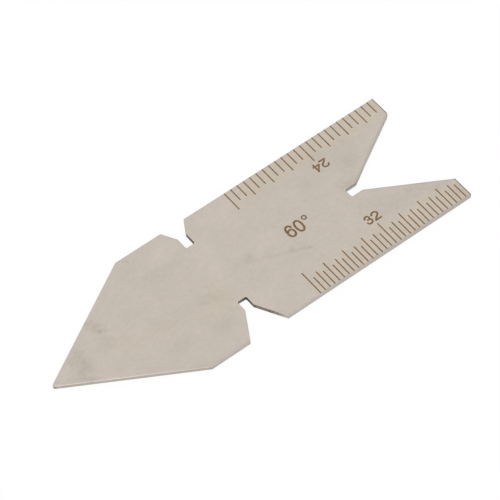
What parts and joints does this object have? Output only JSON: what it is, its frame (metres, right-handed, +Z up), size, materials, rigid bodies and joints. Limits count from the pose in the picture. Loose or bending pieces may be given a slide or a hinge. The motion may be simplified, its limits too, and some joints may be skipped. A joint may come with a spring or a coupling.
{
  "type": "center gauge",
  "caption": "Flat steel center gauge with a 60 degree point, 60 degree side notches with relief slots, a 60 degree fishtail and inch scales along its edges.",
  "frame": {"origin": "under the middle of the blade, on the plane of its back face", "axes": "+X along the blade towards the fishtail, +Y towards the side with the small notch and the 24 scale, +Z up out of the front face"},
  "size_m": [0.0606, 0.0204, 0.0007],
  "materials": {
    "blade_steel": "satin ground stainless steel, warm grey",
    "mark_filling": "dull brown filling in etched lines"
  },
  "bodies": {
    "root": {"gauge_blade": "blade_steel", "scale_24_marks": "mark_filling", "scale_32_marks": "mark_filling", "scale_14_marks": "mark_filling", "scale_20_marks": "mark_filling"}
  },
  "joints": []
}
